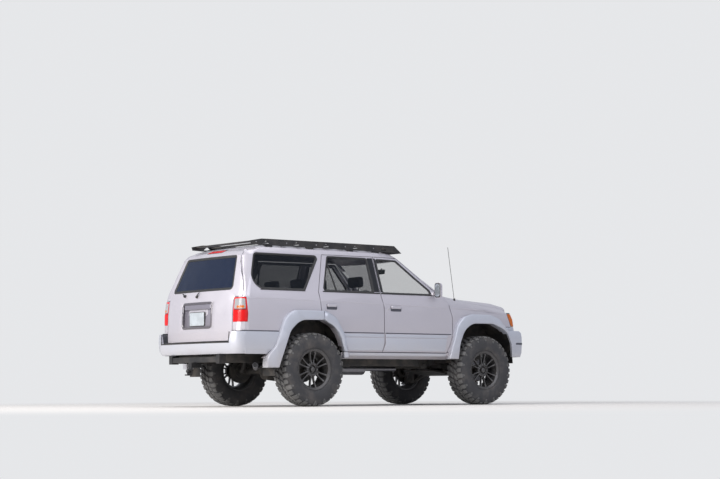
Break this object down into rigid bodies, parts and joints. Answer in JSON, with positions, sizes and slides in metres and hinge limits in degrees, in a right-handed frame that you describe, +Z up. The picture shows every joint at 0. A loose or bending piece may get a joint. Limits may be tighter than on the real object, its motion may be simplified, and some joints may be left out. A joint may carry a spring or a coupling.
{
  "type": "lifted off-road 4x4",
  "caption": "Lifted five-door off-road estate with arch flares, large mud tyres, flat roof rack and opening doors, tailgate and bonnet.",
  "frame": {"origin": "centre of the bounding box on the ground under the tyres", "axes": "+X forward, +Y to the vehicle's left, +Z up"},
  "size_m": [4.71, 1.976, 1.9667],
  "materials": {
    "paint": "pale silver metallic",
    "moulding": "pale silver, slightly blue",
    "rubber_tyre": "worn tread rubber",
    "wheel_metal": "gunmetal bronze",
    "window": "tinted",
    "lamp": "red and clear",
    "lamp_front": "clear and amber",
    "black_plastic": "textured black",
    "grey_plastic": "grey bars",
    "rack_black": "black powder coat",
    "chassis": "black chassis paint",
    "bare_steel": "dull steel",
    "cast": "cast",
    "cloth": "dark cloth",
    "trim": "dark trim"
  },
  "bodies": {
    "body": {"body_sides": "paint", "roof_panel": "paint", "wings": "paint", "arch_flares": "moulding", "front_bumper": "moulding", "rear_bumper": "moulding", "fixed_glass": "window", "tail_lamps": "lamp", "front_lamps": "lamp_front", "grille": "grey_plastic", "floor_and_bulkhead": "chassis", "wheelhouses": "black_plastic", "frame": "chassis", "rear_axle": "chassis", "rear_suspension": "chassis", "front_suspension": "chassis", "engine_and_driveline": "cast", "fuel_tank": "chassis", "skid_plate": "chassis", "exhaust": "bare_steel", "tow_hitch": "bare_steel", "roof_rack": "rack_black", "seats": "cloth", "dashboard": "trim", "steering_wheel": "trim", "antenna": "rack_black"},
    "tailgate": {"tailgate": "paint", "tailgate_glass": "window"},
    "bonnet": {"bonnet": "paint"},
    "front_door_left": {"front_door_left": "paint", "front_door_glass_left": "window"},
    "rear_door_left": {"rear_door_left": "paint", "rear_door_glass_left": "window"},
    "knuckle_left": {"knuckle_left": "cast"},
    "wheel_front_left": {"tyre_front_left": "rubber_tyre", "wheel_front_left": "wheel_metal"},
    "wheel_rear_left": {"tyre_rear_left": "rubber_tyre", "wheel_rear_left": "wheel_metal"},
    "front_door_right": {"front_door_right": "paint", "front_door_glass_right": "window"},
    "rear_door_right": {"rear_door_right": "paint", "rear_door_glass_right": "window"},
    "knuckle_right": {"knuckle_right": "cast"},
    "wheel_front_right": {"tyre_front_right": "rubber_tyre", "wheel_front_right": "wheel_metal"},
    "wheel_rear_right": {"tyre_rear_right": "rubber_tyre", "wheel_rear_right": "wheel_metal"}
  },
  "joints": [
    {"name": "front_door_left_hinge", "type": "hinge", "parent": "body", "child": "front_door_left", "pos_m": [1.019, 0.862, 0.96], "axis": [0, 0, -1], "range_deg": [0, 68]},
    {"name": "rear_door_left_hinge", "type": "hinge", "parent": "body", "child": "rear_door_left", "pos_m": [-0.073, 0.862, 0.96], "axis": [0, 0, -1], "range_deg": [0, 68]},
    {"name": "steer_left", "type": "hinge", "parent": "body", "child": "knuckle_left", "pos_m": [1.515, 0.72, 0.43], "axis": [0, 0, 1], "range_deg": [-28, 28]},
    {"name": "wheel_front_left_roll", "type": "hinge", "parent": "knuckle_left", "child": "wheel_front_left", "pos_m": [1.515, 0.772, 0.43], "axis": [0, 1, 0], "continuous": true},
    {"name": "wheel_rear_left_roll", "type": "hinge", "parent": "body", "child": "wheel_rear_left", "pos_m": [-1.16, 0.772, 0.43], "axis": [0, 1, 0], "continuous": true},
    {"name": "front_door_right_hinge", "type": "hinge", "parent": "body", "child": "front_door_right", "pos_m": [1.019, -0.862, 0.96], "axis": [0, 0, 1], "range_deg": [0, 68]},
    {"name": "rear_door_right_hinge", "type": "hinge", "parent": "body", "child": "rear_door_right", "pos_m": [-0.073, -0.862, 0.96], "axis": [0, 0, 1], "range_deg": [0, 68]},
    {"name": "steer_right", "type": "hinge", "parent": "body", "child": "knuckle_right", "pos_m": [1.515, -0.72, 0.43], "axis": [0, 0, 1], "range_deg": [-28, 28]},
    {"name": "wheel_front_right_roll", "type": "hinge", "parent": "knuckle_right", "child": "wheel_front_right", "pos_m": [1.515, -0.772, 0.43], "axis": [0, 1, 0], "continuous": true},
    {"name": "wheel_rear_right_roll", "type": "hinge", "parent": "body", "child": "wheel_rear_right", "pos_m": [-1.16, -0.772, 0.43], "axis": [0, 1, 0], "continuous": true},
    {"name": "tailgate_hinge", "type": "hinge", "parent": "body", "child": "tailgate", "pos_m": [-1.872, 0, 1.844], "axis": [0, 1, 0], "range_deg": [0, 80]},
    {"name": "bonnet_hinge", "type": "hinge", "parent": "body", "child": "bonnet", "pos_m": [1.006, 0, 1.36], "axis": [0, -1, 0], "range_deg": [0, 50]}
  ],
  "couplings": [
    {"joint": "steer_right", "follows": "steer_left", "ratio": 1}
  ]
}
